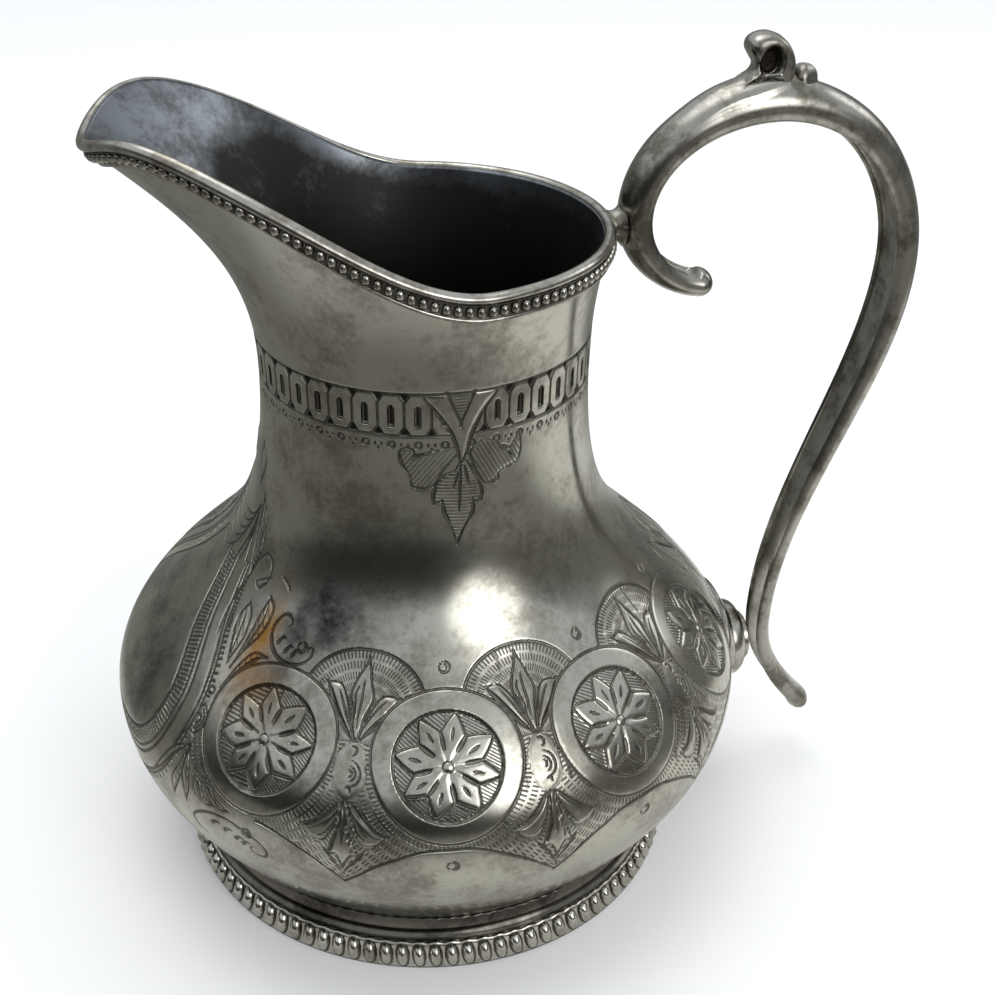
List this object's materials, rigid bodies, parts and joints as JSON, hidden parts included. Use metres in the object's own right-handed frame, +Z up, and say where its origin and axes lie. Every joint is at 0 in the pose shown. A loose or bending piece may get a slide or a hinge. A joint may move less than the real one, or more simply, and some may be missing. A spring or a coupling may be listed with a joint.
{
  "type": "milk jug",
  "caption": "Squat baluster milk jug in engraved silver plate with a wide rising spout, beaded rim and foot, and a looped handle with a thumb scroll.",
  "frame": {"origin": "centre of the foot ring, on the surface that the jug stands on", "axes": "+Z up; -X towards the spout; +X towards the handle; the plane Y = 0 halves the jug"},
  "size_m": [0.1141, 0.09, 0.1167],
  "materials": {
    "engraved_plate": "polished silver plate, cloudy with tarnish, dark in the engraving",
    "foot_plate": "polished silver plate, dark in the hollow",
    "bead_plate": "polished silver plate, bright on the beads and dark between them",
    "handle_plate": "worn satin silver plate",
    "boss_plate": "worn polished silver plate"
  },
  "bodies": {
    "root": {"body": "engraved_plate", "foot_ring": "foot_plate", "foot_bead_border": "bead_plate", "rim_roll": "bead_plate", "rim_bead_border": "bead_plate", "handle": "handle_plate", "thumb_scroll": "handle_plate", "thumb_bud": "handle_plate", "rim_lug": "handle_plate", "boss_flange": "boss_plate", "boss_dome": "boss_plate", "boss_collar": "boss_plate"}
  },
  "joints": []
}
